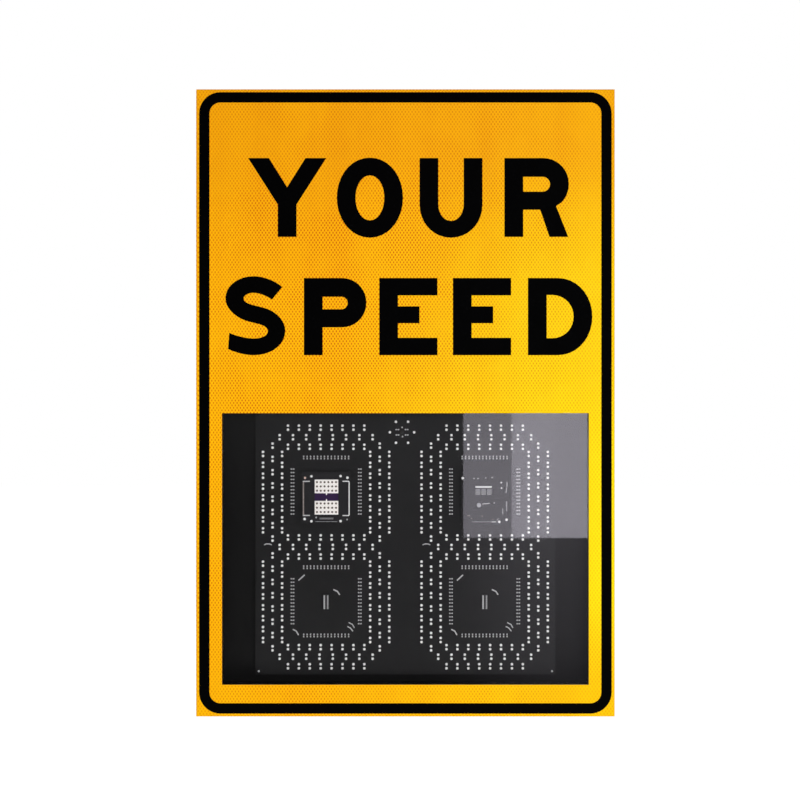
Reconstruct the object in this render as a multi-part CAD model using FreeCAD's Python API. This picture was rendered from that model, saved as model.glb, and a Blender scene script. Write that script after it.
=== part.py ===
import FreeCAD
import Part
import math
import os

# Radar speed sign: a reflective face pan over a shallow housing, with a two-digit lamp display
# behind a window and two slotted rails at the back for a post.
# Millimetres. X runs to the driver's right, Z up, Y from the face to the back. The origin is the
# middle of the four post slots, on the rear faces of the rails.

# Face and sheet metal
SIGN_W = 610.0
SIGN_H = 914.0
SHEET_T = 2.0
BEND_R = 0.8  # inside radius of every fold in the sheet
RETURN_DEPTH = 30.0

# Films on the face
FILM_T = 0.4
FILM_WRAP = 9.0  # how far the sheeting runs back round the edges
STRIPE_T = 0.2
STRIPE_W = 15.0
STRIPE_EDGE = 4.8  # yellow left outside the stripe
STRIPE_R = 16.0  # inside radius of the stripe's corners

# Housing and its seal
HOUSING_DEPTH = 60.0
HOUSING_FIT = 0.5  # gap between the housing and the returns round it
SEAL_T = 3.0
SEAL_W = 12.0
SEAL_FIT = 0.4

# Window, pane and gaskets
WINDOW_SILL = 46.7  # from the sign's lower edge up to the window
WINDOW_MARGIN = 16.8  # from the outermost lamps to the window's edge
PANE_T = 4.0
GASKET_T = 2.0
GASKET_SET = 1.5  # keeps the front gasket out of sight

# Display tray
TRAY_T = 1.5
TRAY_DEPTH = 33.0
TRAY_MARGIN = 3.0  # the tray's walls stand this far outside the window's edge
PANE_LAP = 5.5
FLANGE_LIP = 2.0  # flange outside the pane's edge
TRAY_SLOT_L = 60.0
TRAY_SLOT_H = 14.0

# Clips that hold the tray's flange to the face
CLIP_T = 1.5
CLIP_W = 30.0
CLIP_FOOT = 7.5
CLIP_LAP = 5.0
CLIP_FIT = 0.5
CLIP_GAP = 1.0  # from a clip's foot to the housing seal
CLIP_SPACING_W = 300.0
CLIP_SPACING_H = 220.0

# Display board
BOARD_T = 1.6
BOARD_SIDE = 9.5
BOARD_BELOW = 7.5
BOARD_TOP_GAP = 2.0
STANDOFF_L = 10.0
STANDOFF_AF = 6.0
STANDOFF_INSET = 5.0

# Lamps: seven segments of three rows, each row of lamp pairs
LED_SIZE = 3.5
LED_H = 2.0
PAIR_GAP = 6.0
PAIRS_PER_ROW = 8
SHORT_PITCH = 16.1  # outer two rows of a segment
LONG_PITCH = 19.6  # middle row
ROW_PITCH = 14.1
SEGMENT_RUN = 158.2  # between the left and right segments
SEGMENT_RISE = 162.0  # between the top, middle and bottom segments
DIGIT_PITCH = 234.0
BEACON_COUNT = 6
BEACON_R = 17.9
BEACON_X = -5.0
BEACON_RISE = 7.3  # above the middle of the top segments
SENSOR_SIZE = 5.0
SENSOR_H = 2.6

# Radar and control modules
MODULE_W = 71.0
MODULE_H = 74.0
MODULE_T = 1.6
MODULE_LIFT = 4.0  # pin headers between the display board and a module
MODULE_DROP = 7.0  # below the middle of the upper loop
HEADER_W = 30.0
HEADER_H = 5.0
HEADER_EDGE = 6.0
ANTENNA_W = 34.8
ANTENNA_H = 20.2
ANTENNA_GAP = 11.2
ANTENNA_T = 1.0
ANTENNA_SHIFT = 0.8  # the patches stand right of the radar board's middle
CHIP_W = 7.0
CHIP_H = 6.5
CHIP_T = 3.0
CHIP_GAP = 1.5
CHIP_COUNT = 3
CONTROL_SHIFT = -2.0  # the parts on the control board stand left of its middle
CONTROL_RISE = 1.2  # and above it
BAR_W = 24.0
BAR_H = 2.6
BAR_T = 5.0
BAR_GAP = 3.0
CAPACITOR_R = 3.1
CAPACITOR_H = 9.0
CAPACITOR_DROP = 12.7
DRIVER_HEADER_W = 9.0
DRIVER_HEADER_H = 22.0
DRIVER_HEADER_T = 6.0

# Rails
RAIL_L = 440.0
RAIL_DEPTH = 28.0
RAIL_T = 3.0
RAIL_CROWN = 46.0
RAIL_FLANGE = 24.0
RAIL_BEND_R = 2.0
RAIL_SPACING = 560.0
SLOT_SPACING = 140.0
SLOT_L = 40.0
SLOT_R = 5.5

# Supply on the inside of the back wall
SUPPLY_W = 180.0
SUPPLY_H = 96.0
SUPPLY_DEPTH = 38.0
SUPPLY_Z = 130.0
TERMINAL_W = 110.0
TERMINAL_H = 16.0
TERMINAL_DEPTH = 22.0
TERMINAL_BARRIERS = 8
TERMINAL_BARRIER_T = 1.5
TERMINAL_STEP = 7.0

# Cable inlet on the back wall
INLET_SIDE = 115.0  # in from the sign's right edge
INLET_RISE = 72.0  # up from its lower edge
GLAND_R = 9.0
GLAND_BORE_R = 6.5
GLAND_HEX_AF = 24.0
GLAND_HEX_T = 6.0
GLAND_TAIL_L = 9.0
GLAND_NUT_T = 5.0
GLAND_CAP_AF = 21.0
GLAND_CAP_L = 14.0
GLAND_CROWN_L = 6.0  # tapered end of the cap
GLAND_CROWN_R = 8.2

# Depth of each layer, from the rails' rear faces forward
HOUSING_BACK_Y = -RAIL_DEPTH
WALL_Y = HOUSING_BACK_Y - SHEET_T  # inner face of the back wall
HOUSING_FRONT_Y = HOUSING_BACK_Y - HOUSING_DEPTH
FACE_BACK_Y = HOUSING_FRONT_Y - SEAL_T
FACE_FRONT_Y = FACE_BACK_Y - SHEET_T
FILM_FRONT_Y = FACE_FRONT_Y - FILM_T
PANE_FRONT_Y = FACE_BACK_Y + GASKET_T
PANE_BACK_Y = PANE_FRONT_Y + PANE_T
FLANGE_Y = PANE_BACK_Y + GASKET_T
TRAY_FLOOR_Y = FLANGE_Y + TRAY_DEPTH
BOARD_BACK_Y = TRAY_FLOOR_Y - STANDOFF_L
BOARD_FRONT_Y = BOARD_BACK_Y - BOARD_T
MODULE_BACK_Y = BOARD_FRONT_Y - MODULE_LIFT
MODULE_FRONT_Y = MODULE_BACK_Y - MODULE_T

# Widths from the outside in, so that the window follows from what stands round it
METAL_W = SIGN_W - 2 * FILM_T
METAL_H = SIGN_H - 2 * FILM_T
PAN_INNER_W = METAL_W - 2 * SHEET_T
PAN_INNER_H = METAL_H - 2 * SHEET_T
HOUSING_W = PAN_INNER_W - 2 * HOUSING_FIT
HOUSING_H = PAN_INNER_H - 2 * HOUSING_FIT
SEAL_OUTER_W = PAN_INNER_W - 2 * (BEND_R + SEAL_FIT)
SEAL_OUTER_H = PAN_INNER_H - 2 * (BEND_R + SEAL_FIT)
CLIP_REACH = CLIP_FIT + CLIP_T + CLIP_FOOT  # from the flange's edge to the end of a clip's foot
FLANGE_W = SEAL_OUTER_W - 2 * (SEAL_W + CLIP_GAP + CLIP_REACH)
PANE_W = FLANGE_W - 2 * FLANGE_LIP
TRAY_W = PANE_W - 2 * PANE_LAP
WINDOW_W = TRAY_W - 2 * (TRAY_T + TRAY_MARGIN)

# Heights from the digits out
DIGIT_H = 2 * SEGMENT_RISE + 2 * ROW_PITCH + PAIR_GAP + LED_SIZE
WINDOW_H = DIGIT_H + 2 * WINDOW_MARGIN
TRAY_H = WINDOW_H + 2 * (TRAY_T + TRAY_MARGIN)
PANE_H = TRAY_H + 2 * PANE_LAP
FLANGE_H = PANE_H + 2 * FLANGE_LIP
WINDOW_Z = -SIGN_H / 2 + WINDOW_SILL + WINDOW_H / 2
BOARD_W = DIGIT_PITCH + SEGMENT_RUN + 2 * ROW_PITCH + LED_SIZE + 2 * BOARD_SIDE
BOARD_LOW_Z = WINDOW_Z - DIGIT_H / 2 - BOARD_BELOW
BOARD_HIGH_Z = WINDOW_Z + TRAY_H / 2 - TRAY_T - BOARD_TOP_GAP
MODULE_Z = WINDOW_Z + SEGMENT_RISE / 2 - MODULE_DROP
CONTROL_Z = MODULE_Z + CONTROL_RISE
INLET_X = SIGN_W / 2 - INLET_SIDE
INLET_Z = INLET_RISE - SIGN_H / 2

BACK = FreeCAD.Vector(0, 1, 0)
TOUCH = 1e-6


def point(x, y, z):
    return FreeCAD.Vector(x, y, z)


def rounded_wire(corners):
    # Closed wire through (corner, radius) pairs, with an arc wherever the radius isn't zero.
    count = len(corners)
    starts, ends, edges = [], [], []
    for index in range(count):
        corner, radius = corners[index]
        to_last = corners[index - 1][0].sub(corner).normalize()
        to_next = corners[(index + 1) % count][0].sub(corner).normalize()
        half_angle = to_last.getAngle(to_next) / 2
        reach = radius / math.tan(half_angle)
        start = corner.add(point(*to_last).multiply(reach))
        end = corner.add(point(*to_next).multiply(reach))
        if radius > TOUCH:
            inward = to_last.add(to_next).normalize()
            crown = corner.add(inward.multiply(radius / math.sin(half_angle) - radius))
            edges.append(Part.Arc(start, crown, end).toShape())
        starts.append(start)
        ends.append(end)
    for index in range(count):
        if ends[index - 1].sub(starts[index]).Length > TOUCH:
            edges.append(Part.makeLine(ends[index - 1], starts[index]))
    return Part.Wire(Part.__sortEdges__(edges))


def plate(width, height, radius, y, depth, x=0.0, z=0.0):
    # Upright rounded plate whose front face is at y.
    right, left = x + width / 2, x - width / 2
    top, low = z + height / 2, z - height / 2
    outline = [point(left, y, low), point(right, y, low), point(right, y, top), point(left, y, top)]
    wire = rounded_wire([(corner, radius) for corner in outline])
    return Part.Face(wire).extrude(BACK * depth)


def frame(outer, inner, y, depth, z=0.0):
    # Flat square-cornered ring: outer and inner are (width, height).
    return brick(*outer, depth, 0, z, y).cut(brick(*inner, depth, 0, z, y))


def folded_block(width, height, bend_r, y, depth, folded_y, z=0.0):
    # Block whose four edges at folded_y are rounded like a fold.
    block = brick(width, height, depth, 0, z, y)
    edges = [e for e in block.Edges if all(abs(v.Y - folded_y) < TOUCH for v in e.Vertexes)]
    return block.makeFillet(bend_r, edges)


def rod(radius, x, z, y, length):
    return Part.makeCylinder(radius, length, point(x, y, z), BACK)


def hexagon(across_flats, x, z, y, length):
    reach = across_flats / math.sqrt(3)
    turns = [math.radians(60 * k) for k in range(6)]
    ring = [point(x + reach * math.cos(t), y, z + reach * math.sin(t)) for t in turns]
    return Part.Face(Part.makePolygon(ring + ring[:1])).extrude(BACK * length)


def brick(width, height, depth, x, z, y):
    # Box centred on x and z, with its front face at y.
    return Part.makeBox(width, depth, height, point(x - width / 2, y, z - height / 2))


def group(shapes):
    return Part.makeCompound([solid for shape in shapes for solid in shape.Solids])


def metal_block():
    return folded_block(METAL_W, METAL_H, BEND_R + SHEET_T, FACE_FRONT_Y, RETURN_DEPTH, FACE_FRONT_Y)


def face_panel():
    hollow = folded_block(PAN_INNER_W, PAN_INNER_H, BEND_R, FACE_BACK_Y, RETURN_DEPTH, FACE_BACK_Y)
    return metal_block().cut(hollow).cut(window_cut())


def window_cut():
    depth = FACE_BACK_Y - FILM_FRONT_Y
    return brick(WINDOW_W, WINDOW_H, depth, 0, WINDOW_Z, FILM_FRONT_Y)


def reflective_sheeting():
    bend = BEND_R + SHEET_T + FILM_T
    wrapped = folded_block(SIGN_W, SIGN_H, bend, FILM_FRONT_Y, FILM_WRAP, FILM_FRONT_Y)
    return wrapped.cut(metal_block()).cut(window_cut())


def border_stripe():
    width, height = SIGN_W - 2 * STRIPE_EDGE, SIGN_H - 2 * STRIPE_EDGE
    y = FILM_FRONT_Y - STRIPE_T
    inside = plate(width - 2 * STRIPE_W, height - 2 * STRIPE_W, STRIPE_R, y, STRIPE_T)
    return plate(width, height, STRIPE_R + STRIPE_W, y, STRIPE_T).cut(inside)


def housing_seal():
    inner = (SEAL_OUTER_W - 2 * SEAL_W, SEAL_OUTER_H - 2 * SEAL_W)
    return frame((SEAL_OUTER_W, SEAL_OUTER_H), inner, FACE_BACK_Y, SEAL_T)


def window_gasket():
    inner = (WINDOW_W + 2 * GASKET_SET, WINDOW_H + 2 * GASKET_SET)
    return frame((PANE_W, PANE_H), inner, FACE_BACK_Y, GASKET_T, z=WINDOW_Z)


def window_pane():
    return brick(PANE_W, PANE_H, PANE_T, 0, WINDOW_Z, PANE_FRONT_Y)


def clamp_gasket():
    return frame((PANE_W, PANE_H), (TRAY_W, TRAY_H), PANE_BACK_Y, GASKET_T, z=WINDOW_Z)


def display_tray():
    depth = TRAY_DEPTH + TRAY_T
    shell = folded_block(TRAY_W, TRAY_H, BEND_R + TRAY_T, FLANGE_Y, depth, FLANGE_Y + depth, WINDOW_Z)
    inner_w, inner_h = TRAY_W - 2 * TRAY_T, TRAY_H - 2 * TRAY_T
    hollow = folded_block(inner_w, inner_h, BEND_R, FLANGE_Y, TRAY_DEPTH, TRAY_FLOOR_Y, WINDOW_Z)
    flange = brick(FLANGE_W, FLANGE_H, TRAY_T, 0, WINDOW_Z, FLANGE_Y)
    slot = brick(TRAY_SLOT_L, TRAY_SLOT_H, TRAY_T, 0, WINDOW_Z, TRAY_FLOOR_Y)
    return flange.fuse(shell).cut(hollow).cut(slot).removeSplitter()


def tray_clip(edge, along, turn):
    # Folded Z: a finger over the flange, a riser and a foot on the back of the face.
    # It is drawn above the window, edge away from the middle, then turned round the window.
    finger_y = FLANGE_Y + TRAY_T
    riser = edge + CLIP_FIT
    outline = [
        (edge - CLIP_LAP, finger_y),
        (riser, finger_y),
        (riser, FACE_BACK_Y),
        (edge + CLIP_REACH, FACE_BACK_Y),
        (edge + CLIP_REACH, FACE_BACK_Y + CLIP_T),
        (riser + CLIP_T, FACE_BACK_Y + CLIP_T),
        (riser + CLIP_T, finger_y + CLIP_T),
        (edge - CLIP_LAP, finger_y + CLIP_T),
    ]
    ring = [point(along - CLIP_W / 2, y, WINDOW_Z + up) for up, y in outline]
    clip = Part.Face(Part.makePolygon(ring + ring[:1])).extrude(point(CLIP_W, 0, 0))
    clip.rotate(point(0, 0, WINDOW_Z), BACK, turn)
    return clip


def tray_clips():
    sides = [(FLANGE_H, CLIP_SPACING_W, 0), (FLANGE_H, CLIP_SPACING_W, 180)]
    sides += [(FLANGE_W, CLIP_SPACING_H, 90), (FLANGE_W, CLIP_SPACING_H, 270)]
    clips = []
    for span, spacing, turn in sides:
        for half in (-spacing / 2, spacing / 2):
            clips.append(tray_clip(span / 2, half, turn))
    return group(clips)


def display_board():
    height = BOARD_HIGH_Z - BOARD_LOW_Z
    return brick(BOARD_W, height, BOARD_T, 0, BOARD_LOW_Z + height / 2, BOARD_FRONT_Y)


def board_standoffs():
    across = BOARD_W / 2 - STANDOFF_INSET
    heights = (BOARD_LOW_Z + STANDOFF_INSET, BOARD_HIGH_Z - STANDOFF_INSET)
    places = [(x, z) for x in (-across, 0, across) for z in heights]
    return group([hexagon(STANDOFF_AF, x, z, BOARD_BACK_Y, STANDOFF_L) for x, z in places])


def row_offsets(row):
    # Distance of each lamp pair from the middle of its segment: the middle row is spread wider.
    pitch = SHORT_PITCH if row else LONG_PITCH
    return [(k - (PAIRS_PER_ROW - 1) / 2) * pitch for k in range(PAIRS_PER_ROW)]


def digit_pairs():
    # Middle of every lamp pair of one digit, from the digit's own middle.
    pairs = []
    for row in (-1, 0, 1):
        for along in row_offsets(row):
            for level in (-1, 0, 1):
                pairs.append((along, level * SEGMENT_RISE + row * ROW_PITCH))
            for side in (-1, 1):
                across = side * SEGMENT_RUN / 2 + row * ROW_PITCH
                pairs.append((across, SEGMENT_RISE / 2 + along))
                pairs.append((across, -SEGMENT_RISE / 2 + along))
    return pairs


def lamp(x, z):
    return brick(LED_SIZE, LED_SIZE, LED_H, x, z, BOARD_FRONT_Y - LED_H)


def digit_leds(middle_x):
    lamps = []
    for x, z in digit_pairs():
        for half_gap in (-PAIR_GAP / 2, PAIR_GAP / 2):
            lamps.append(lamp(middle_x + x, WINDOW_Z + z + half_gap))
    return group(lamps)


def beacon_z():
    return WINDOW_Z + SEGMENT_RISE + BEACON_RISE


def beacon_leds():
    turns = [2 * math.pi * k / BEACON_COUNT for k in range(BEACON_COUNT)]
    places = [(BEACON_X + BEACON_R * math.cos(t), beacon_z() + BEACON_R * math.sin(t)) for t in turns]
    return group([lamp(x, z) for x, z in places])


def light_sensor():
    return brick(SENSOR_SIZE, SENSOR_SIZE, SENSOR_H, BEACON_X, beacon_z(), BOARD_FRONT_Y - SENSOR_H)


def module_board(x):
    return brick(MODULE_W, MODULE_H, MODULE_T, x, MODULE_Z, MODULE_FRONT_Y)


def module_headers(x):
    # Pin strips along a module's upper and lower edges, down to the display board.
    rise = MODULE_H / 2 - HEADER_EDGE
    levels = (MODULE_Z - rise, MODULE_Z + rise)
    return group([brick(HEADER_W, HEADER_H, MODULE_LIFT, x, z, MODULE_BACK_Y) for z in levels])


def radar_antennas(x):
    rise = (ANTENNA_H + ANTENNA_GAP) / 2
    y = MODULE_FRONT_Y - ANTENNA_T
    levels = (MODULE_Z - rise, MODULE_Z + rise)
    return group([brick(ANTENNA_W, ANTENNA_H, ANTENNA_T, x, z, y) for z in levels])


def control_chips(x):
    step = CHIP_W + CHIP_GAP
    places = [x + (k - (CHIP_COUNT - 1) / 2) * step for k in range(CHIP_COUNT)]
    z = CONTROL_Z + CHIP_H / 2 + BAR_GAP
    return group([brick(CHIP_W, CHIP_H, CHIP_T, place, z, MODULE_FRONT_Y - CHIP_T) for place in places])


def control_connector(x):
    z = CONTROL_Z + CHIP_H + 2 * BAR_GAP + BAR_H / 2
    return brick(BAR_W, BAR_H, BAR_T, x, z, MODULE_FRONT_Y - BAR_T)


def control_capacitor(x):
    place = x - CHIP_W
    return rod(CAPACITOR_R, place, CONTROL_Z - CAPACITOR_DROP, MODULE_FRONT_Y - CAPACITOR_H, CAPACITOR_H)


def driver_headers():
    y = BOARD_FRONT_Y - DRIVER_HEADER_T
    z = WINDOW_Z - SEGMENT_RISE / 2
    places = (-DIGIT_PITCH / 2, DIGIT_PITCH / 2)
    return group([brick(DRIVER_HEADER_W, DRIVER_HEADER_H, DRIVER_HEADER_T, x, z, y) for x in places])


def rear_housing():
    bend = BEND_R + SHEET_T
    outer = folded_block(HOUSING_W, HOUSING_H, bend, HOUSING_FRONT_Y, HOUSING_DEPTH, HOUSING_BACK_Y)
    inner_w, inner_h = HOUSING_W - 2 * SHEET_T, HOUSING_H - 2 * SHEET_T
    inner_depth = HOUSING_DEPTH - SHEET_T
    hollow = folded_block(inner_w, inner_h, BEND_R, HOUSING_FRONT_Y, inner_depth, WALL_Y)
    return outer.cut(hollow).cut(rod(GLAND_R, INLET_X, INLET_Z, WALL_Y, SHEET_T))


def rail(rail_z):
    # Hat section: two flanges on the housing, two legs and a crown at the rear.
    leg, foot = RAIL_CROWN / 2, RAIL_CROWN / 2 + RAIL_FLANGE
    inner_leg, seat = leg - RAIL_T, HOUSING_BACK_Y
    inside, outside = RAIL_BEND_R, RAIL_BEND_R + RAIL_T
    half = [
        (foot, seat + RAIL_T, 0),
        (leg, seat + RAIL_T, inside),
        (leg, 0, outside),
    ]
    under = [
        (inner_leg, -RAIL_T, inside),
        (inner_leg, seat, outside),
        (foot, seat, 0),
    ]
    upper = [(point(-RAIL_L / 2, y, rail_z + z), r) for z, y, r in half]
    lower = [(point(-RAIL_L / 2, y, rail_z - z), r) for z, y, r in reversed(half)]
    lower_under = [(point(-RAIL_L / 2, y, rail_z - z), r) for z, y, r in reversed(under)]
    upper_under = [(point(-RAIL_L / 2, y, rail_z + z), r) for z, y, r in under]
    outline = rounded_wire(upper + lower + lower_under + upper_under)
    hat = Part.Face(outline).extrude(point(RAIL_L, 0, 0))
    for x in (-SLOT_SPACING / 2, SLOT_SPACING / 2):
        hat = hat.cut(slot_cut(x, rail_z))
    return hat


def slot_cut(x, z):
    # Slot through a rail's crown, long across the sign.
    straight = SLOT_L - 2 * SLOT_R
    middle = brick(straight, 2 * SLOT_R, RAIL_T, x, z, -RAIL_T)
    ends = [rod(SLOT_R, x + side * straight / 2, z, -RAIL_T, RAIL_T) for side in (-1, 1)]
    return middle.fuse(ends).removeSplitter()


def power_supply():
    return brick(SUPPLY_W, SUPPLY_H, SUPPLY_DEPTH, 0, SUPPLY_Z, WALL_Y - SUPPLY_DEPTH)


def supply_terminals():
    # Barrier strip below the supply: a stepped bar with a thin wall between the screws.
    z = SUPPLY_Z - (SUPPLY_H + TERMINAL_H) / 2
    front = WALL_Y - TERMINAL_DEPTH
    bar = brick(TERMINAL_W, TERMINAL_H, TERMINAL_DEPTH - TERMINAL_STEP, 0, z, front + TERMINAL_STEP)
    pitch = (TERMINAL_W - TERMINAL_BARRIER_T) / (TERMINAL_BARRIERS - 1)
    first = (TERMINAL_BARRIER_T - TERMINAL_W) / 2
    for k in range(TERMINAL_BARRIERS):
        wall = brick(TERMINAL_BARRIER_T, TERMINAL_H, TERMINAL_STEP, first + k * pitch, z, front)
        bar = bar.fuse(wall)
    return bar.removeSplitter()


def gland_body():
    tail_y = WALL_Y - GLAND_TAIL_L
    length = SHEET_T + GLAND_TAIL_L + GLAND_HEX_T
    tail = rod(GLAND_R, INLET_X, INLET_Z, tail_y, length)
    body = tail.fuse(hexagon(GLAND_HEX_AF, INLET_X, INLET_Z, HOUSING_BACK_Y, GLAND_HEX_T))
    return body.cut(rod(GLAND_BORE_R, INLET_X, INLET_Z, tail_y, length)).removeSplitter()


def hex_nut(across_flats, bore_r, y, length):
    nut = hexagon(across_flats, INLET_X, INLET_Z, y, length)
    return nut.cut(rod(bore_r, INLET_X, INLET_Z, y, length))


def gland_locknut():
    return hex_nut(GLAND_HEX_AF, GLAND_R, WALL_Y - GLAND_NUT_T, GLAND_NUT_T)


def gland_cap():
    # Hexagon with a round crown that tapers towards the cable.
    y = HOUSING_BACK_Y + GLAND_HEX_T
    flats = GLAND_CAP_L - GLAND_CROWN_L
    crown_y = y + flats
    crown = Part.makeCone(GLAND_CAP_AF / 2, GLAND_CROWN_R, GLAND_CROWN_L, point(INLET_X, crown_y, INLET_Z), BACK)
    cap = hexagon(GLAND_CAP_AF, INLET_X, INLET_Z, y, flats).fuse(crown)
    return cap.cut(rod(GLAND_BORE_R, INLET_X, INLET_Z, y, GLAND_CAP_L)).removeSplitter()


def nodes():
    left, right = -DIGIT_PITCH / 2, DIGIT_PITCH / 2
    return {
        "face_panel": face_panel(),
        "reflective_sheeting": reflective_sheeting(),
        "border_stripe": border_stripe(),
        "window_gasket": window_gasket(),
        "window_pane": window_pane(),
        "clamp_gasket": clamp_gasket(),
        "display_tray": display_tray(),
        "tray_clips": tray_clips(),
        "display_board": display_board(),
        "board_standoffs": board_standoffs(),
        "left_digit_leds": digit_leds(left),
        "right_digit_leds": digit_leds(right),
        "beacon_leds": beacon_leds(),
        "light_sensor": light_sensor(),
        "radar_board": module_board(left),
        "radar_headers": module_headers(left),
        "radar_antennas": radar_antennas(left + ANTENNA_SHIFT),
        "control_board": module_board(right),
        "control_headers": module_headers(right),
        "control_chips": control_chips(right + CONTROL_SHIFT),
        "control_connector": control_connector(right + CONTROL_SHIFT),
        "control_capacitor": control_capacitor(right + CONTROL_SHIFT),
        "driver_headers": driver_headers(),
        "housing_seal": housing_seal(),
        "rear_housing": rear_housing(),
        "upper_rail": rail(RAIL_SPACING / 2),
        "lower_rail": rail(-RAIL_SPACING / 2),
        "power_supply": power_supply(),
        "supply_terminals": supply_terminals(),
        "gland_body": gland_body(),
        "gland_locknut": gland_locknut(),
        "gland_cap": gland_cap(),
    }


def main():
    os.makedirs("parts", exist_ok=True)
    for name, shape in nodes().items():
        shape.exportStep(f"parts/{name}.step")


main()
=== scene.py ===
import math

import bmesh
import bpy
from mathutils import Matrix, Vector


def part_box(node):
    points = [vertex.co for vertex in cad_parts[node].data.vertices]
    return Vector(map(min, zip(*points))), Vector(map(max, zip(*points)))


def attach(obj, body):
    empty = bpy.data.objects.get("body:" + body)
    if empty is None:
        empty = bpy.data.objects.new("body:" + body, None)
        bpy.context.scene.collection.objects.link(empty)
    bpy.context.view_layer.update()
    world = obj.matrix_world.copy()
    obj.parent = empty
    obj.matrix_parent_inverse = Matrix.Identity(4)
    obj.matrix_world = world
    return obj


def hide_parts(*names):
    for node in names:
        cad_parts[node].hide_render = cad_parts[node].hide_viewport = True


# Radar speed sign: the looks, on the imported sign's own frame. Metres, X right, Z up, face to -Y.

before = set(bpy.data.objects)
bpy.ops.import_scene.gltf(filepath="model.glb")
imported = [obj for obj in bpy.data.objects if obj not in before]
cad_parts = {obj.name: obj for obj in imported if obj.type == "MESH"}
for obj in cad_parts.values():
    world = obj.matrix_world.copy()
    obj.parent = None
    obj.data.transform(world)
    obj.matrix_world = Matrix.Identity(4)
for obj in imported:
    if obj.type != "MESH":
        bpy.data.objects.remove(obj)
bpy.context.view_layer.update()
mm = 0.001
print("loaded", len(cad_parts), "nodes")


# small tools for modelling

def pickNone():
    bpy.ops.object.select_all(action="DESELECT")


def soloSelect(obj):
    pickNone()
    obj.select_set(True)
    bpy.context.view_layer.objects.active = obj


def settle(obj, name):
    # name it and put its place, turn and size into its mesh
    soloSelect(obj)
    bpy.ops.object.transform_apply(location=True, rotation=True, scale=True)
    obj.name = obj.data.name = name
    return obj


def startBlock(name, size, middle):
    pickNone()
    bpy.ops.mesh.primitive_cube_add(size=1, location=middle, scale=size)
    return settle(bpy.context.object, name)


def startRound(name, radius, depth, middle, sides=20):
    # a drum that lies along Y
    pickNone()
    turn = (math.radians(90), 0, 0)
    bpy.ops.mesh.primitive_cylinder_add(
        vertices=sides, radius=radius, depth=depth, location=middle, rotation=turn)
    return settle(bpy.context.object, name)


def openEdit(obj):
    soloSelect(obj)
    bpy.ops.object.mode_set(mode="EDIT")


def closeEdit():
    bpy.ops.object.mode_set(mode="OBJECT")


def pickFaces(obj, test):
    bpy.ops.mesh.select_mode(type="FACE")
    bpy.ops.mesh.select_all(action="DESELECT")
    shape = bmesh.from_edit_mesh(obj.data)
    for face in shape.faces:
        face.select_set(test(face.calc_center_median(), face.normal))
    bmesh.update_edit_mesh(obj.data)


def pickEdges(obj, test):
    bpy.ops.mesh.select_mode(type="EDGE")
    bpy.ops.mesh.select_all(action="DESELECT")
    shape = bmesh.from_edit_mesh(obj.data)
    for edge in shape.edges:
        a, b = (v.co for v in edge.verts)
        edge.select_set(test((a + b) / 2, b - a))
    bmesh.update_edit_mesh(obj.data)


def facesFront(centre, normal):
    return normal.y < -0.9


def facesBack(centre, normal):
    return normal.y > 0.9


def pushOut(shift):
    bpy.ops.mesh.extrude_region_move(TRANSFORM_OT_translate={"value": shift})


def shrink(factor, middle):
    bpy.ops.transform.resize(value=(factor, 1, factor), center_override=middle)


def stepFront(obj, rim, shift, factor=1.0, middle=(0, 0, 0)):
    # a rim round the front face, which then moves along Y and narrows
    openEdit(obj)
    pickFaces(obj, facesFront)
    bpy.ops.mesh.inset(thickness=rim)
    pushOut((0, shift, 0))
    shrink(factor, middle)
    closeEdit()
    return obj


def smoothOver(obj, angle):
    soloSelect(obj)
    bpy.ops.object.shade_smooth_by_angle(angle=math.radians(angle))
    return obj


def softEdges(obj, width, segments=1, angle=35):
    soloSelect(obj)
    rounding = obj.modifiers.new("rounding", "BEVEL")
    rounding.width = width
    rounding.segments = segments
    rounding.limit_method = "ANGLE"
    rounding.angle_limit = math.radians(angle)
    bpy.ops.object.modifier_apply(modifier=rounding.name)
    return smoothOver(obj, angle)


def inRow(obj, count, step):
    soloSelect(obj)
    row = obj.modifiers.new("row", "ARRAY")
    row.count = count
    row.use_relative_offset = False
    row.use_constant_offset = True
    row.constant_offset_displace = step
    bpy.ops.object.modifier_apply(modifier=row.name)
    return obj


def copyTo(obj, shift, turn=0.0):
    # a copy with its own mesh, turned about Y and then moved
    twin = obj.copy()
    twin.data = obj.data.copy()
    bpy.context.collection.objects.link(twin)
    twin.data.transform(Matrix.Translation(shift) @ Matrix.Rotation(turn, 4, "Y"))
    return twin


def joinAs(name, parts):
    pickNone()
    for part in parts:
        part.select_set(True)
    bpy.context.view_layer.objects.active = parts[0]
    bpy.ops.object.join()
    whole = bpy.context.object
    whole.name = whole.data.name = name
    return whole


def discard(obj):
    bpy.data.objects.remove(obj, do_unlink=True)


def paint(obj, finish):
    obj.data.materials.clear()
    obj.data.materials.append(finish)
    return obj


def seat(piece, slotName, *nodes):
    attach(piece, "root")
    if nodes:
        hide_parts(*nodes)


def dress(finish, *nodes):
    # a better finish on CAD pieces that stay
    for name in nodes:
        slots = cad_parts[name].data.materials
        slots.clear()
        slots.append(finish)


def spanOf(node):
    low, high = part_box(node)
    return low, high, (low + high) / 2


def middleOf(node):
    return spanOf(node)[2]


# materials

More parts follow.
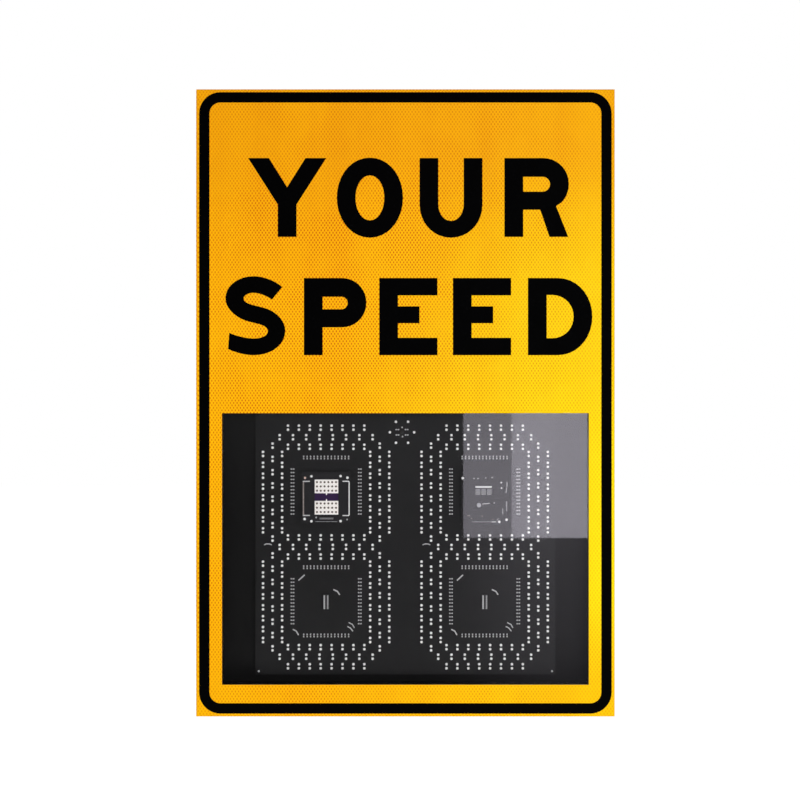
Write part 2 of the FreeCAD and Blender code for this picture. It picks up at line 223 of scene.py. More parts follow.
class Wire:
    # one socket of a node tree: arithmetic on it adds Math nodes
    def __init__(self, socket):
        self.socket = socket
        self.tree = socket.id_data

    def node(self, kind, settings=None, links=None, out=0):
        made = self.tree.nodes.new(kind)
        for key, value in (settings or {}).items():
            setattr(made, key, value)
        for key, value in (links or {}).items():
            if isinstance(value, Wire):
                self.tree.links.new(value.socket, made.inputs[key])
            else:
                socket = made.inputs[key]
                socket.default_value = (*value, 1.0) if socket.type == "RGBA" else value
        return Wire(made.outputs[out])

    def math(self, operation, *values):
        return self.node("ShaderNodeMath", {"operation": operation}, dict(enumerate(values)))

    def __add__(self, other):
        return self.math("ADD", self, other)

    def __sub__(self, other):
        return self.math("SUBTRACT", self, other)

    def __rsub__(self, other):
        return self.math("SUBTRACT", other, self)

    def __mul__(self, other):
        return self.math("MULTIPLY", self, other)

    def __pow__(self, other):
        return self.math("POWER", self, other)

    __radd__ = __add__
    __rmul__ = __mul__

    def cos(self):
        return self.math("COSINE", self)

    def size(self):
        return self.math("ABSOLUTE", self)

    def above(self, other):
        return self.math("MAXIMUM", self, other)

    def ramp(self, low, high):
        ease = {"interpolation_type": "SMOOTHSTEP"}
        return self.node("ShaderNodeMapRange", ease, {0: self, 1: low, 2: high})

    def axes(self):
        made = self.node("ShaderNodeSeparateXYZ", None, {0: self}).socket.node
        return [Wire(out) for out in made.outputs]

    def stretched(self, scale):
        return self.node("ShaderNodeMapping", None, {"Vector": self, "Scale": scale})

    def noise(self, scale, detail=2.0, rough=0.5):
        links = {"Vector": self, "Scale": scale, "Detail": detail, "Roughness": rough}
        return self.node("ShaderNodeTexNoise", None, links, "Fac")

    def cells(self, scale):
        return self.node("ShaderNodeTexVoronoi", None, {"Vector": self, "Scale": scale}, "Distance")

    def between(self, first, second):
        # two colours, mixed by this value
        return self.node("ShaderNodeMix", {"data_type": "RGBA"}, {0: self, 6: first, 7: second}, 2)

    def bump(self, distance, strength=1.0):
        links = {"Height": self, "Distance": distance, "Strength": strength}
        return self.node("ShaderNodeBump", None, links)

    def into(self, socket):
        self.tree.links.new(self.socket, socket)


def newFinish(name, **fixed):
    # Principled material; fixed values go on its sockets, the Wire carries Object coordinates
    finish = bpy.data.materials.new(name)
    finish.use_nodes = True
    tree = finish.node_tree
    for key, value in fixed.items():
        tree.nodes["Principled BSDF"].inputs[key.replace("_", " ")].default_value = value
    return finish, Wire(tree.nodes.new("ShaderNodeTexCoord").outputs["Object"])


def surface(finish, colour, rough, normal=None, coat=None):
    # what changes over the surface
    sockets = finish.node_tree.nodes["Principled BSDF"].inputs
    ends = {"Base Color": colour, "Roughness": rough, "Normal": normal, "Coat Weight": coat}
    for key, wire in ends.items():
        if wire:
            wire.into(sockets[key])
    return finish


def shadedBy(finish, shader):
    # another shader in place of the Principled one
    nodes = finish.node_tree.nodes
    shader.into(nodes["Material Output"].inputs["Surface"])
    nodes.remove(nodes["Principled BSDF"])
    return finish


filmLook = {
    "cellWide": 4.9 * mm, "cellTall": 7.18 * mm,  # lattice of the prism cells
    "leftLight": (1.0, 0.495, 0.001), "leftDark": (0.63, 0.125, 0.001),
    # the right-hand pair is paler: painted light on the right of the film
    "rightLight": (0.97, 0.74, 0.003), "rightDark": (0.74, 0.36, 0.0015),
}


def prismaticFilm():
    finish, place = newFinish("prismaticFilm", Specular_IOR_Level=0.05)
    x, y, z = place.axes()
    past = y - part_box("reflective_sheeting")[0].y  # how far round the folded edge
    turnWide, turnTall = 2 * math.pi / filmLook["cellWide"], 2 * math.pi / filmLook["cellTall"]
    lattice = ((x + past) * turnWide).cos() * ((z + past) * turnTall).cos()
    dots = lattice.ramp(-0.2, 0.8)
    drift = place.noise(5.0, 2.0)
    # painted shade: the colour darkens towards the top
    paintedShadeTop = (z + drift * 0.24).ramp(0.18, 0.40)
    toLow = (drift * 0.1 - z).ramp(0.3, 0.5)
    # painted light: the film's colour is made palest beside the window, on the right, where the light falls,
    # and it fades towards the top and the bottom
    paintedLightRight = (x + drift * 0.16).ramp(-0.06, 0.34) * (1 - z.ramp(-0.12, 0.06) * 0.38)
    paintedLightRight = paintedLightRight * (1 - z.ramp(0.14, 0.40) * 0.85) * (1 - toLow * 0.72)
    light = paintedLightRight.between(filmLook["leftLight"], filmLook["rightLight"])
    dark = paintedLightRight.between(filmLook["leftDark"], filmLook["rightDark"])
    patches = place.noise(15.0, 3.0).ramp(0.34, 0.6) * 0.3 + 0.82  # cells show more in some places
    # painted shade along the top edge: the cells fade and the colour darkens
    paintedShadeNearTop = (z + drift * 0.1).ramp(0.28, 0.42)
    nearSide = x.size().ramp(0.21, 0.29)
    shown = patches * (1 - paintedShadeNearTop * 0.25) * (1 - nearSide * 0.3) * (1 - paintedLightRight * 0.4) * (1 - toLow * 0.3)
    # painted glints: paler specks in the colour where single prisms flash
    paintedGlint = place.noise(900.0, 1.0).ramp(0.62, 0.74)  # single prisms that flash
    colour = (dots * shown * (1 - paintedGlint * 0.5)).between(light, dark)
    bands = place.stretched((9.0, 1.0, 0.6)).noise(3.0, 1.0).ramp(0.3, 0.8)  # roll-to-roll bands
    # the bands are real; the mix towards the dark colour at the top is painted shade
    colour = (bands * 0.1 + paintedShadeTop * 0.12 + paintedShadeNearTop * 0.12).between(colour, dark)
    prisms = dots * 0.5 + place.noise(700.0, 1.0) * 0.5
    return surface(finish, colour, place.noise(60.0) * 0.16 + 0.3, prisms.bump(0.05 * mm, 0.5))


def blackVinyl():
    finish, place = newFinish("blackVinyl", Specular_IOR_Level=0.02)
    dust = place.noise(420.0, 3.0).ramp(0.55, 0.8)
    colour = dust.between((0.0004, 0.0004, 0.0005), (0.002, 0.002, 0.0025))
    fine = place.noise(900.0, 2.0)
    return surface(finish, colour, place.noise(35.0) * 0.18 + 0.38, fine.bump(0.02 * mm, 0.4))


paneLook = {
    "rough": 0.015, "mirrored": 0.05,  # the share that it mirrors, seen straight on
    "wiped": (0.999, 0.999, 0.999), "hazy": (0.975, 0.975, 0.98),
}


def clearSheet():
    finish, place = newFinish("clearSheet")
    facing = place.node("ShaderNodeLayerWeight", None, {"Blend": 0.5}, "Facing")
    gloss = place.node("ShaderNodeBsdfGlossy", None, {"Roughness": paneLook["rough"]})
    smear = place.noise(7.0, 4.0, 0.6).ramp(0.45, 0.8)  # wiped-on haze
    tint = smear.between(paneLook["wiped"], paneLook["hazy"])
    through = place.node("ShaderNodeBsdfTransparent", None, {"Color": tint})
    share = facing ** 5.0 * (1 - paneLook["mirrored"]) + paneLook["mirrored"]
    return shadedBy(finish, place.node("ShaderNodeMixShader", None, {0: share, 1: through, 2: gloss}))


def brushedAluminium(name, along, tone):
    # along: how little the grain changes along X, Y and Z
    finish, place = newFinish(name, Metallic=1.0)
    grain = place.stretched(along).noise(1400.0, 3.0, 0.6)
    cloud = place.noise(9.0, 3.0)
    dull = (tone * 0.80, tone * 0.81, tone * 0.83)
    colour = (grain * 0.5 + cloud * 0.5).between(dull, (tone, tone, tone))
    return surface(finish, colour, grain * 0.2 + cloud * 0.12 + 0.3, grain.bump(0.02 * mm, 0.5))


def zincSteel():
    finish, place = newFinish("zincSteel", Metallic=1.0)
    spangle = place.cells(160.0)
    colour = spangle.between((0.62, 0.63, 0.64), (0.78, 0.79, 0.80))
    return surface(finish, colour, spangle * 0.2 + 0.26, place.noise(600.0).bump(0.02 * mm, 0.4))


def powderCoat(name, base, fleck, rough, orangePeel, gloss):
    finish, place = newFinish(name, Specular_IOR_Level=gloss)
    cloud = place.noise(6.0, 3.0)
    spots = place.noise(850.0, 1.0).ramp(0.55, 0.75)
    colour = (cloud * 0.5 + spots * 0.4).between(base, fleck)
    peel = place.noise(420.0, 2.0) + place.noise(1500.0, 1.0) * 0.4
    return surface(finish, colour, cloud * 0.12 + rough, peel.bump(orangePeel, 0.6))


def closedFoam():
    finish, place = newFinish("closedFoam", Specular_IOR_Level=0.2)
    pores = place.cells(1100.0).ramp(0.1, 0.6)
    colour = pores.between((0.006, 0.006, 0.007), (0.022, 0.022, 0.024))
    return surface(finish, colour, pores * 0.1 + 0.82, pores.bump(0.12 * mm, 0.8))


def solderMask(name, ground, copper):
    # lacquer over copper runs: the runs show as a slightly lighter, raised pattern
    finish, place = newFinish(name, Specular_IOR_Level=0.28)
    x, _, z = place.axes()
    turn = 2 * math.pi / (2.8 * mm)  # the runs' spacing
    region = place.noise(26.0, 1.0).ramp(0.48, 0.52)
    upright = (x * turn).cos().ramp(0.2, 0.7)
    level = (z * turn).cos().ramp(0.2, 0.7)
    runs = upright * region + level * (1 - region)
    pour = place.noise(14.0, 1.0).ramp(0.5, 0.54)
    raised = runs * pour + (1 - pour) * 0.7
    colour = (raised * 0.6 + place.noise(40.0) * 0.4).between(ground, copper)
    relief = raised + place.noise(1600.0) * 0.1
    return surface(finish, colour, place.noise(300.0) * 0.12 + 0.42, relief.bump(0.03 * mm, 0.35))


def mouldedPlastic(name, base, worn, rough):
    finish, place = newFinish(name, Specular_IOR_Level=0.4)
    spark = place.noise(1300.0, 2.0)
    colour = (spark * 0.6 + place.noise(50.0) * 0.4).ramp(0.3, 0.8).between(base, worn)
    return surface(finish, colour, place.noise(90.0) * 0.15 + rough, spark.bump(0.04 * mm, 0.6))


def plainMetal(name, low, high, rough, grain, metal=1.0):
    finish, place = newFinish(name, Metallic=metal)
    colour = place.noise(grain, 3.0).between(low, high)
    fine = place.noise(grain * 4.0)
    return surface(finish, colour, place.noise(grain * 2.5) * 0.2 + rough, fine.bump(0.02 * mm, 0.5))


def screenInk(name, thinTone, fullTone):
    finish, place = newFinish(name, Specular_IOR_Level=0.3)
    thin = place.noise(800.0, 2.0).ramp(0.35, 0.7)
    colour = thin.between(thinTone, fullTone)
    return surface(finish, colour, place.noise(500.0) * 0.1 + 0.6, thin.bump(0.01 * mm, 0.5))


def lampResin(name, base, tint, rough):
    finish, place = newFinish(name, Coat_Roughness=0.08)
    bloom = place.noise(700.0, 1.0)
    return surface(finish, bloom.between(base, tint), bloom * 0.1 + rough, coat=bloom * 0.2 + 0.1)


def antennaFace():
    finish, place = newFinish("antennaFace", Specular_IOR_Level=0.3)
    weave = place.noise(900.0, 2.0)
    colour = weave.between((0.985, 0.94, 0.89), (1.0, 0.97, 0.93))
    return surface(finish, colour, weave * 0.1 + 0.5, weave.bump(0.015 * mm, 0.5))


film = prismaticFilm()
vinyl = blackVinyl()
pane = clearSheet()
foam = closedFoam()
trayCoat = powderCoat("trayCoat", (0.002, 0.002, 0.002), (0.006, 0.006, 0.0055), 0.5, 0.06 * mm, 0.2)
housingCoat = powderCoat("housingCoat", (0.30, 0.31, 0.32), (0.37, 0.38, 0.39), 0.42, 0.05 * mm, 0.4)
boardMask = solderMask("boardMask", (0.0056, 0.0056, 0.0058), (0.0088, 0.0088, 0.0091))
radarMask = solderMask("radarMask", (0.009, 0.009, 0.010), (0.014, 0.0135, 0.0155))
purpleMask = solderMask("purpleMask", (0.012, 0.0015, 0.030), (0.028, 0.004, 0.060))
panMetal = brushedAluminium("panMetal", (0.02, 0.02, 1.0), 0.66)
railMetal = brushedAluminium("railMetal", (0.015, 1.0, 1.0), 0.62)
clipMetal = zincSteel()
ink = screenInk("ink", (0.46, 0.46, 0.47), (0.64, 0.64, 0.64))
tin = plainMetal("tin", (0.48, 0.48, 0.49), (0.65, 0.65, 0.66), 0.45, 400.0, 0.12)
# a darker copy of tin: painted shade for the pins in the shaded row
shadedTin = plainMetal("shadedTin", (0.34, 0.34, 0.35), (0.46, 0.46, 0.47), 0.5, 400.0, 0.12)
screwMetal = plainMetal("screwMetal", (0.66, 0.66, 0.67), (0.86, 0.86, 0.87), 0.25, 250.0)
rivetMetal = plainMetal("rivetMetal", (0.66, 0.67, 0.68), (0.84, 0.85, 0.86), 0.33, 200.0)
caseMetal = plainMetal("caseMetal", (0.55, 0.56, 0.57), (0.72, 0.73, 0.74), 0.36, 60.0)
bodyResin = mouldedPlastic("bodyResin", (0.26, 0.26, 0.26), (0.38, 0.38, 0.38), 0.5)
chipResin = mouldedPlastic("chipResin", (0.012, 0.012, 0.013), (0.030, 0.030, 0.031), 0.5)
headerResin = mouldedPlastic("headerResin", (0.010, 0.010, 0.010), (0.024, 0.024, 0.024), 0.45)
glandResin = mouldedPlastic("glandResin", (0.014, 0.014, 0.015), (0.034, 0.034, 0.035), 0.48)
lampBody = lampResin("lampBody", (0.95, 0.95, 0.94), (0.98, 0.98, 0.97), 0.4)
lampLens = lampResin("lampLens", (0.96, 0.96, 0.94), (0.99, 0.99, 0.98), 0.2)
antennaWhite = antennaFace()
antennaSpot = plainMetal("antennaSpot", (0.09, 0.065, 0.05), (0.15, 0.11, 0.09), 0.5, 500.0, 0.3)
nylon = mouldedPlastic("nylon", (0.86, 0.86, 0.85), (0.94, 0.94, 0.93), 0.4)
inkBright = screenInk("inkBright", (0.80, 0.80, 0.80), (0.92, 0.92, 0.92))
inkDim = screenInk("inkDim", (0.20, 0.17, 0.16), (0.34, 0.29, 0.27))
inkMid = screenInk("inkMid", (0.26, 0.26, 0.27), (0.40, 0.40, 0.41))
copperDot = plainMetal("copperDot", (0.76, 0.52, 0.44), (0.88, 0.66, 0.58), 0.4, 300.0, 0.3)
blackScrew = plainMetal("blackScrew", (0.012, 0.012, 0.013), (0.03, 0.03, 0.03), 0.4, 250.0)
greyResin = mouldedPlastic("greyResin", (0.17, 0.17, 0.175), (0.26, 0.26, 0.265), 0.5)
print("materials", len(bpy.data.materials))

dress(film, "reflective_sheeting")
dress(vinyl, "border_stripe")
dress(pane, "window_pane")
dress(foam, "housing_seal", "window_gasket", "clamp_gasket")
dress(trayCoat, "display_tray")
dress(housingCoat, "rear_housing")
dress(boardMask, "display_board", "control_board")
dress(radarMask, "radar_board")
dress(panMetal, "face_panel")
dress(railMetal, "upper_rail", "lower_rail")
dress(clipMetal, "tray_clips", "board_standoffs")
dress(caseMetal, "power_supply")
dress(headerResin, "radar_headers", "control_headers", "supply_terminals")
dress(glandResin, "gland_locknut")


# flat shapes, cut from film or printed: outlines drawn as curves, then made meshes

roundness = 0.56  # how full a rounded corner is; 0.55 is a circle


def addLoop(curve, corners):
    # (x, z) is sharp; (x, z, before, after) is rounded that far along the edges beside it
    spots = [Vector(c[:2]) for c in corners]
    knots = []
    for k, corner in enumerate(corners):
        here = spots[k]
        if len(corner) == 2:
            knots.append((here, None, None))
            continue
        start = here + (spots[k - 1] - here).normalized() * corner[2]
        end = here + (spots[(k + 1) % len(spots)] - here).normalized() * corner[3]
        knots.append((start, None, start.lerp(here, roundness)))
        knots.append((end, end.lerp(here, roundness), None))
    spline = curve.splines.new("BEZIER")
    spline.bezier_points.add(len(knots) - 1)
    spline.use_cyclic_u = True
    for knot, (spot, before, after) in zip(spline.bezier_points, knots):
        knot.co = (*spot, 0)
        knot.handle_left_type = "FREE" if before else "VECTOR"
        knot.handle_right_type = "FREE" if after else "VECTOR"
        if before:
            knot.handle_left = (*before, 0)
        if after:
            knot.handle_right = (*after, 0)


def flatShape(name, loops, thick, place):
    # loops in mm; the shape's back lies on place.y
    curve = bpy.data.curves.new(name, "CURVE")
    curve.dimensions = "2D"
    curve.fill_mode = "BOTH"
    curve.resolution_u = 9
    curve.extrude = thick / mm / 2
    for loop in loops:
        addLoop(curve, loop)
    obj = bpy.data.objects.new(name, curve)
    bpy.context.collection.objects.link(obj)
    soloSelect(obj)
    bpy.ops.object.convert(target="MESH")
    obj = bpy.context.object
    obj.scale = (mm, mm, mm)
    obj.rotation_euler = (math.radians(90), 0, 0)
    obj.location = (place[0], place[1] - thick / 2, place[2])
    settle(obj, name)
    openEdit(obj)
    bpy.ops.mesh.select_all(action="SELECT")
    bpy.ops.mesh.remove_doubles(threshold=0.005 * mm)
    bpy.ops.mesh.normals_make_consistent(inside=False)
    closeEdit()
    return obj


# the legend: plain block capitals, in mm from each letter's lower left corner

legend = {
    "stroke": 27.2,
    "thick": 0.2 * mm,
    "lines": [
        {"rise": 241.7, "tall": 114.6,
         "letters": [("Y", -228.9), ("O", -99.8), ("U", 20.7), ("R", 144.2)]},
        {"rise": 69.5, "tall": 112.2,
         "letters": [("S", -261.8), ("P", -147.7), ("E", -38.0), ("E", 69.2), ("D", 178.4)]},
    ],
    "wide": {"Y": 113.6, "O": 96.3, "U": 91.4, "R": 93.6, "S": 86.9, "P": 90.9, "E": 84.6, "D": 93.6},
}


def letterY(w, h, s):
    mid, arm, half = w / 2, s * 1.11, s / 2
    return [[(0, h), (arm, h), (mid, h - 42.5), (w - arm, h), (w, h), (mid + half, 47),
             (mid + half, 0), (mid - half, 0), (mid - half, 47)]]


def ovalLoop(left, right, low, high):
    rx, rz = (right - left) / 2 - 0.2, (high - low) / 2 - 0.2
    return [(left, low, rz, rx), (right, low, rx, rz), (right, high, rz, rx), (left, high, rx, rz)]


def letterO(w, h, s):
    return [ovalLoop(0, w, -1.2, h + 0.6), ovalLoop(s, w - s, 24.0, h - 25.2)]


def letterU(w, h, s):
    turn, bend = w / 2 - 0.2, w / 2 - s - 0.2
    outer = [(0, h), (0, -1.2, 48, turn), (w, -1.2, turn, 48), (w, h)]
    inner = [(w - s, h), (w - s, 23.2, 24, bend), (s, 23.2, bend, 24), (s, h)]
    return [outer + inner]


def bowl(w, low, h, s):
    # outside and counter of the round part of P and R
    half = (h - low) / 2 - 0.2
    outside = [(w, low, half, half), (w, h, half, half)]
    hole = (h - low) / 2 - s + 0.6
    counter = [(s, low + s - 1), (s, h - s), (w - s, h - s, hole, hole), (w - s, low + s - 1, hole, hole)]
    return outside, counter


def letterP(w, h, s):
    outside, counter = bowl(w, 40.5, h, s)
    return [[(0, 0), (s, 0), (s, 40.5)] + outside + [(0, h)], counter]


def letterR(w, h, s):
    outside, counter = bowl(w, 39.5, h, s)
    body = [(0, 0), (s, 0), (s, 39.5), (52, 39.5), (65.5, 0), (w - 0.8, 0), (75.0, 45.0)]
    arc = [(w, 56.0, 16, 20), outside[1]]
    return [body + arc + [(0, h)], counter]


def letterE(w, h, s):
    arm, mid = 25.2, 58.5
    return [[(0, 0), (w, 0), (w, arm), (s, arm), (s, 46.5), (mid, 46.5), (mid, 71), (s, 71),
             (s, h - arm), (w, h - arm), (w, h), (0, h)]]


def letterD(w, h, s):
    outer = [(0, 0), (w, 0, 50, h / 2 - 0.2), (w, h, h / 2 - 0.2, 50), (0, h)]
    hole = (h - 2 * 24.6) / 2 - 0.2
    inner = [(s, 24.6), (w - s, 24.6, 31, hole), (w - s, h - 24.6, hole, 31), (s, h - 24.6)]
    return [outer, inner]


def letterS(w, h, s):
    top = h + 2.6
    upper = [(82.4, 99.1), (65, top, 22, 23.5), (0, top, 40.7, 32), (0, 57.0, 25, 36)]
    lowHole = [(61.5, 42.1, 13, 6), (61.5, 24.2, 10, 20), (24, 24.2, 16.5, 19)]
    lower = [(5.5, 32.4), (3.8, 9.0), (22, 0, 19, 18.5), (w, 0, 45.5, 35), (w, 61.0, 25, 32)]
    highHole = [(26.3, 76.4, 13, 5), (26.3, 90.7, 8.5, 14.3), (54, 90.7, 13, 16)]
    return [upper + lowHole + lower + highHole + [(67.6, 80.8)]]


def makeLegend():
    draw = {"Y": letterY, "O": letterO, "U": letterU, "R": letterR, "S": letterS,
            "P": letterP, "E": letterE, "D": letterD}
    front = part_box("reflective_sheeting")[0].y
    letters = []
    for line in legend["lines"]:
        for sign, left in line["letters"]:
            loops = draw[sign](legend["wide"][sign], line["tall"], legend["stroke"])
            place = (left * mm, front, line["rise"] * mm)
            letters.append(paint(flatShape("letter" + sign, loops, legend["thick"], place), vinyl))
    seat(joinAs("faceLegend", letters), "black_film")


makeLegend()
print("legend done")


# lamps of the two digits and the ring

lamps = {
    "size": 3.6 * mm, "package": 1.0 * mm, "tall": 2.0 * mm, "pairGap": 6.0 * mm,
    "corner": 0.24, "rim": 0.05,  # shares of its size
    "dome": ((0.7, 0.96), (0.3, 0.86)),  # steps: share of the lens's height, and how far it narrows
    "perRow": 8, "shortPitch": 16.1 * mm, "longPitch": 19.6 * mm, "rowPitch": 14.1 * mm,
    "run": 158.2 * mm, "rise": 162.0 * mm, "ringCount": 6, "ringRadius": 17.9 * mm,
}
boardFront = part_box("display_board")[0].y


def makeLamp():
    size, body = lamps["size"], lamps["package"]
    lamp = startBlock("lamp", (size, body, size), (0, boardFront - body / 2, 0))
    paint(lamp, lampBody)
    lamp.data.materials.append(lampLens)
    openEdit(lamp)
    pickEdges(lamp, lambda middle, run: abs(run.y) > body / 2)
    bpy.ops.mesh.bevel(offset=size * lamps["corner"], segments=1)
    pickFaces(lamp, facesFront)
    bpy.ops.mesh.inset(thickness=size * lamps["rim"])
    lamp.active_material_index = 1
    for reach, factor in lamps["dome"]:
        pushOut((0, -(lamps["tall"] - body) * reach, 0))
        shrink(factor, (0, boardFront, 0))
    pickFaces(lamp, lambda centre, normal: centre.y < boardFront - body - 0.05 * mm)
    bpy.ops.object.material_slot_assign()
    closeEdit()
    return smoothOver(lamp, 50)


def makeDigit(name, pair, middle):
    half = (lamps["perRow"] - 1) / 2
    runs = []
    for row in (-1, 0, 1):
        pitch = lamps["shortPitch"] if row else lamps["longPitch"]
        offset = row * lamps["rowPitch"]
        across = inRow(copyTo(pair, (-half * pitch, 0, 0)), lamps["perRow"], (pitch, 0, 0))
        upright = inRow(copyTo(pair, (0, 0, -half * pitch)), lamps["perRow"], (0, 0, pitch))
        for level in (-1, 0, 1):
            runs.append(copyTo(across, (middle.x, 0, middle.z + level * lamps["rise"] + offset)))
        for side in (-1, 1):
            for level in (-0.5, 0.5):
                place = (middle.x + side * lamps["run"] / 2 + offset, 0, middle.z + level * lamps["rise"])
                runs.append(copyTo(upright, place))
        discard(across)
        discard(upright)
    return joinAs(name, runs)


lamp = makeLamp()
pair = inRow(copyTo(lamp, (0, 0, -lamps["pairGap"] / 2)), 2, (0, 0, lamps["pairGap"]))
for side in ("left", "right"):
    node = side + "_digit_leds"
    seat(makeDigit(side + "DigitLamps", pair, middleOf(node)), "lamp_white", node)
ringMiddle = middleOf("beacon_leds")
ring = []
for k in range(lamps["ringCount"]):
    angle = 2 * math.pi * k / lamps["ringCount"]
    across, rise = lamps["ringRadius"] * math.cos(angle), lamps["ringRadius"] * math.sin(angle)
    ring.append(copyTo(lamp, (ringMiddle.x + across, 0, ringMiddle.z + rise)))
seat(joinAs("ringLamps", ring), "lamp_white", "beacon_leds")
discard(pair)
discard(lamp)
print("lamps done")


# chip resistors in rows round each loop

resistors = {
    "body": (1.5 * mm, 0.55 * mm, 2.2 * mm), "pad": (1.8 * mm, 0.16 * mm, 1.9 * mm), "padGap": 3.5 * mm,
    "perRow": 14, "pitch": 5.1 * mm, "lift": 0.8 * mm,
    "above": 51.0 * mm, "below": -49.7 * mm, "beside": 49.7 * mm,  # rows from the middle of a loop
    "bySensor": (6.8 * mm, 4.0 * mm),
    "solderRim": 0.25 * mm, "solderTall": 0.4 * mm, "solderTop": 0.8,
}


def makeResistor():
    # upright: one pad above the other
    thick, padThick = resistors["body"][1], resistors["pad"][1]
    body = startBlock("resistorBody", resistors["body"], (0, boardFront - thick / 2 - padThick / 2, 0))
    parts = [paint(softEdges(body, 0.12 * mm), bodyResin)]
    for side in (-1, 1):
        place = (0, boardFront - padThick / 2, side * resistors["padGap"] / 2)
        pad = startBlock("pad", resistors["pad"], place)
        # solder climbs the end of the part
        stepFront(pad, resistors["solderRim"], -resistors["solderTall"], resistors["solderTop"], place)
        parts.append(paint(pad, tin))
    return joinAs("resistor", parts)


def makeResistorRows():
    single = makeResistor()
    count, pitch = resistors["perRow"], resistors["pitch"]
    first = -(count - 1) / 2 * pitch
    levelRow = inRow(copyTo(single, (first, 0, 0)), count, (pitch, 0, 0))
    uprightRow = inRow(copyTo(single, (0, 0, first), math.radians(90)), count, (0, 0, pitch))
    rows = []
    for digit in ("left_digit_leds", "right_digit_leds"):
        for level in (-0.5, 0.5):
            middle = middleOf(digit) + Vector((0, 0, level * lamps["rise"]))
            middle.y = 0
            rows.append(copyTo(levelRow, middle + Vector((0, 0, resistors["above"]))))
            if level < 0:
                rows.append(copyTo(levelRow, middle + Vector((0, 0, resistors["below"]))))
            for side in (-resistors["beside"], resistors["beside"]):
                rows.append(copyTo(uprightRow, middle + Vector((side, 0, resistors["lift"]))))
    across, rise = resistors["bySensor"]
    for dx in (-across, across):
        for dz in (-rise, rise):
            rows.append(copyTo(single, (ringMiddle.x + dx, 0, ringMiddle.z + dz), math.radians(90)))
    for spare in (single, levelRow, uprightRow):
        discard(spare)
    seat(joinAs("chipResistors", rows), "dark_plastic")


makeResistorRows()
print("resistors done")


# screws, one shape for boards and modules

screws = {
    "radius": 1.9 * mm, "tall": 1.3 * mm, "rim": 0.16, "crown": 0.15, "crownWide": 0.86,
    "slotWide": 0.5 * mm, "slotLong": 2.0 * mm, "slotDeep": 0.5 * mm,
    "onBoard": 0.78,  # heads on the display board are smaller
}


def makeScrew(front):
    # low round head with a cross recess, its seat at front
    radius, tall, crown = screws["radius"], screws["tall"], screws["crown"]
    head = startRound("screw", radius, tall, (0, front - tall / 2, 0))
    stepFront(head, radius * screws["rim"], -tall * crown, screws["crownWide"], (0, front, 0))
    wide, long, deep = screws["slotWide"], screws["slotLong"], screws["slotDeep"]
    for size in ((wide, deep * 2, long), (long, deep * 2, wide)):
        cutter = startBlock("cutter", size, (0, front - tall * (1 + crown), 0))
        soloSelect(head)
        cut = head.modifiers.new("recess", "BOOLEAN")
        cut.object = cutter
        cut.solver = "EXACT"
        bpy.ops.object.modifier_apply(modifier=cut.name)
        discard(cutter)
    return paint(smoothOver(head, 35), screwMetal)


def makeBoardScrews():
    low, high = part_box("board_standoffs")
    screw = makeScrew(boardFront)
    screw.data.transform(Matrix.Diagonal((screws["onBoard"], 1, screws["onBoard"], 1)))
    inset, edge = 3.464 * mm, 3.0 * mm  # from a pillar's corner and from its flat to its middle
    across = (low.x + inset, 0, high.x - inset)
    levels = (low.z + edge, high.z - edge)
    bright, dark = [], []
    for k, x in enumerate(across):
        for z in levels:
            twin = copyTo(screw, (x, 0, z), 0.3 * k)
            if x and z == levels[0]:
                bright.append(paint(twin, tin))
            else:
                dark.append(paint(twin, blackScrew))
    discard(screw)
    seat(joinAs("cornerScrews", bright), "aluminium")
    seat(joinAs("boardScrews", dark), "dark_plastic")


makeBoardScrews()
print("board screws done")


# radar module: two dotted antenna patches on a purple ground, printed brackets, screws

radar = {
    "patchTall": 20.2 * mm, "spotColumns": 6, "spotRows": 3, "spotStep": (5.6 * mm, 6.3 * mm),
    "spot": 1.55 * mm, "spotThick": 0.12 * mm, "spotProud": 0.02 * mm, "dishRim": 0.3, "dish": 0.05 * mm,
    "ground": 0.35 * mm, "edge": 0.5 * mm, "stem": 2.4 * mm, "stemThick": 0.3 * mm, "stemGap": 6.0 * mm,
}


def makeSpots(front):
    # dished round spots in a grid about the origin
    columns, rows = radar["spotColumns"], radar["spotRows"]
    stepX, stepZ = radar["spotStep"]
    spot = startRound("spot", radar["spot"], radar["spotThick"], (0, front - radar["spotProud"], 0), 12)
    stepFront(spot, radar["spot"] * radar["dishRim"], radar["dish"])
    spot.data.transform(Matrix.Translation((-stepX * (columns - 1) / 2, 0, -stepZ * (rows - 1) / 2)))
    inRow(spot, columns, (stepX, 0, 0))
    return paint(inRow(spot, rows, (0, 0, stepZ)), antennaSpot)


